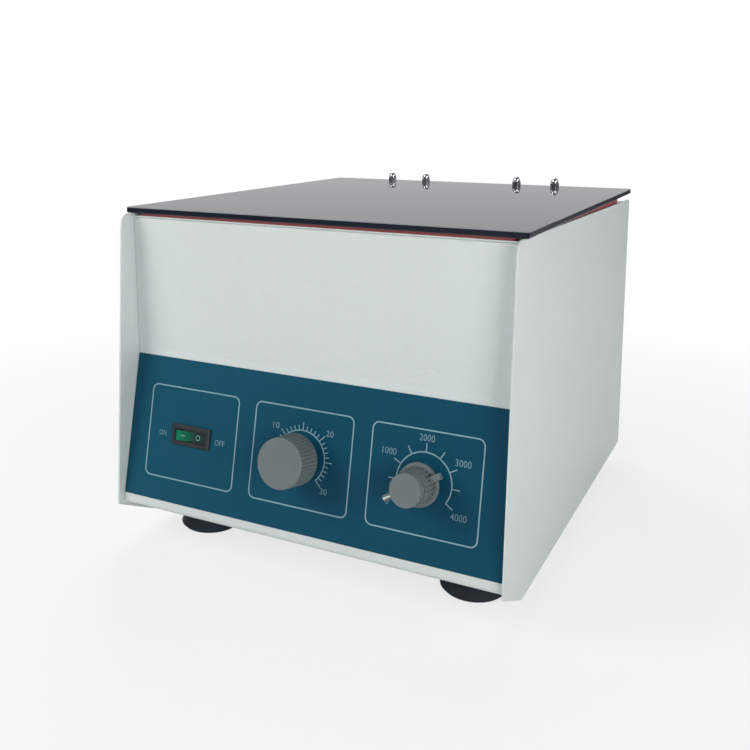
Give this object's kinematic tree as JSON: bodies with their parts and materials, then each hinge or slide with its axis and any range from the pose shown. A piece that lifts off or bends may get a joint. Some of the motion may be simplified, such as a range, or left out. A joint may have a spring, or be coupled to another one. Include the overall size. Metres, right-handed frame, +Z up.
{
  "type": "bench tube centrifuge",
  "caption": "Bench centrifuge: sheet-metal box with a flat hinged lid, a sloping panel with rocker switch, time and speed dials, and a fixed-angle tube rotor in a bowl.",
  "frame": {"origin": "middle of the footprint on the table", "axes": "+X to the operator's right, +Y to the rear, +Z up; the control panel faces -Y"},
  "size_m": [0.3366, 0.4364, 0.2945],
  "materials": {
    "cabinet_paint": "satin",
    "panel_film": "satin",
    "lid_plastic": "gloss",
    "seal_rubber": "matte",
    "foot_rubber": "matte",
    "knob_plastic": "satin",
    "white_mark": "matte",
    "black_plastic": "satin",
    "rocker_green": "gloss",
    "chromed_steel": "polished",
    "zinc_steel": "satin",
    "stainless": "brushed",
    "anodised_aluminium": "satin",
    "sleeve_metal": "satin",
    "motor_paint": "satin",
    "core_steel": "matte",
    "copper": "satin",
    "contact_brass": "satin",
    "board_green": "satin",
    "board_black": "satin"
  },
  "bodies": {
    "cabinet": {"base_tray": "cabinet_paint", "left_side_panel": "cabinet_paint", "right_side_panel": "cabinet_paint", "front_panel": "cabinet_paint", "rear_panel": "cabinet_paint", "rear_panel_posts": "cabinet_paint", "rear_panel_screws": "zinc_steel", "top_deck": "cabinet_paint", "control_overlay": "panel_film", "feet": "foot_rubber", "foot_screws": "zinc_steel", "foot_nuts": "zinc_steel", "lid_seal": "seal_rubber", "hinge_lower_leaves": "chromed_steel", "hinge_pins": "chromed_steel", "hinge_screws": "zinc_steel", "chamber_bowl": "stainless", "chamber_trim": "seal_rubber", "bowl_screws": "zinc_steel", "shaft_boot": "foot_rubber", "motor_bearings": "zinc_steel", "motor_can": "motor_paint", "motor_lower_bell": "anodised_aluminium", "motor_upper_bell": "anodised_aluminium", "brush_holders": "black_plastic", "motor_plate": "zinc_steel", "motor_screws": "zinc_steel", "motor_dampers": "foot_rubber", "damper_studs": "zinc_steel", "switch_housing": "black_plastic", "control_terminals": "contact_brass", "timer_body": "black_plastic", "dial_nuts": "zinc_steel", "potentiometer": "zinc_steel", "control_board": "board_green", "board_standoffs": "zinc_steel", "board_screws": "zinc_steel", "board_parts": "board_black", "power_inlet": "black_plastic", "inlet_pins": "contact_brass", "inlet_screws": "zinc_steel", "fuse_holder": "black_plastic"},
    "lid": {"lid": "lid_plastic", "hinge_upper_leaves": "chromed_steel", "hinge_bolts": "zinc_steel", "acorn_nuts": "chromed_steel"},
    "power_rocker": {"power_rocker": "rocker_green"},
    "time_dial": {"time_knob": "knob_plastic", "timer_shaft": "zinc_steel"},
    "speed_dial": {"speed_knob": "knob_plastic", "pointer_mark": "white_mark", "speed_shaft": "zinc_steel"},
    "rotor": {"rotor_carrier": "anodised_aluminium", "tube_sleeves": "sleeve_metal", "sleeve_cushions": "foot_rubber", "rotor_washer": "zinc_steel", "rotor_nut": "zinc_steel", "spindle": "zinc_steel", "motor_armature": "core_steel", "motor_commutator": "copper"}
  },
  "joints": [
    {"name": "lid_hinge", "type": "hinge", "parent": "cabinet", "child": "lid", "pos_m": [0, 0.20217, 0.2763], "axis": [-1, 0, 0], "range_deg": [0, 100]},
    {"name": "power_rocker_tilt", "type": "hinge", "parent": "cabinet", "child": "power_rocker", "pos_m": [-0.101, -0.18091, 0.09722], "axis": [0, -0.1835, -0.983], "range_deg": [0, 16]},
    {"name": "time_dial_turn", "type": "hinge", "parent": "cabinet", "child": "time_dial", "pos_m": [0, -0.18178, 0.09799], "axis": [0, 0.983, -0.1835], "range_deg": [0, 270]},
    {"name": "speed_dial_turn", "type": "hinge", "parent": "cabinet", "child": "speed_dial", "pos_m": [0.1, -0.18178, 0.09799], "axis": [0, 0.983, -0.1835], "range_deg": [-3.8, 242.6]},
    {"name": "rotor_spin", "type": "hinge", "parent": "cabinet", "child": "rotor", "pos_m": [0, 0.01217, 0.244], "axis": [0, 0, 1], "continuous": true}
  ]
}
